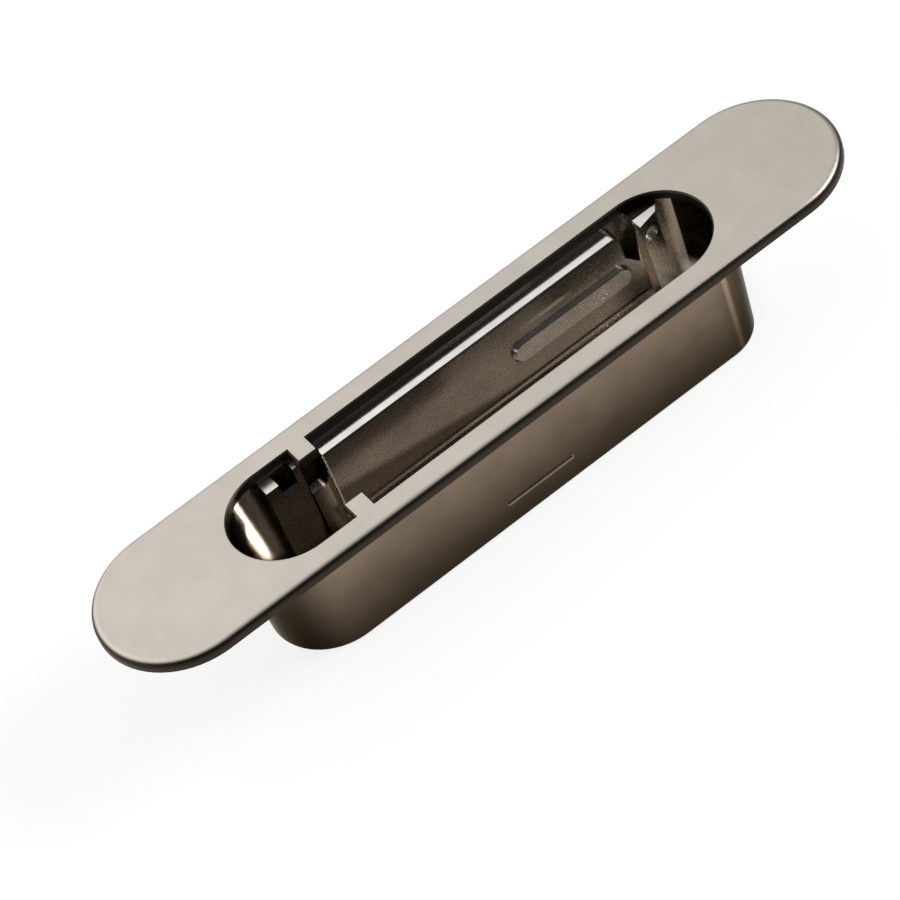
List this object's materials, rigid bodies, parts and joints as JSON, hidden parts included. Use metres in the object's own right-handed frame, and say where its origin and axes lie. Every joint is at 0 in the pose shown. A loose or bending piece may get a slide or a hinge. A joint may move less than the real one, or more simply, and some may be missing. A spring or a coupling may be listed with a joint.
{
  "type": "strike plate",
  "caption": "Round-ended door strike plate with a tabbed bolt slot, over a deep drafted dust box whose inner guides lead the latch and deadbolt.",
  "frame": {"origin": "centre of the underside of the dust box", "axes": "+X along the plate away from the deadbolt end, +Y across the plate, +Z out of the plate's face towards the door"},
  "size_m": [0.11, 0.022, 0.018],
  "materials": {
    "satin_nickel": "satin warm nickel",
    "dark_nickel": "smooth dark nickel plating over a casting"
  },
  "bodies": {
    "root": {"face_plate": "satin_nickel", "dust_box": "dark_nickel"}
  },
  "joints": []
}
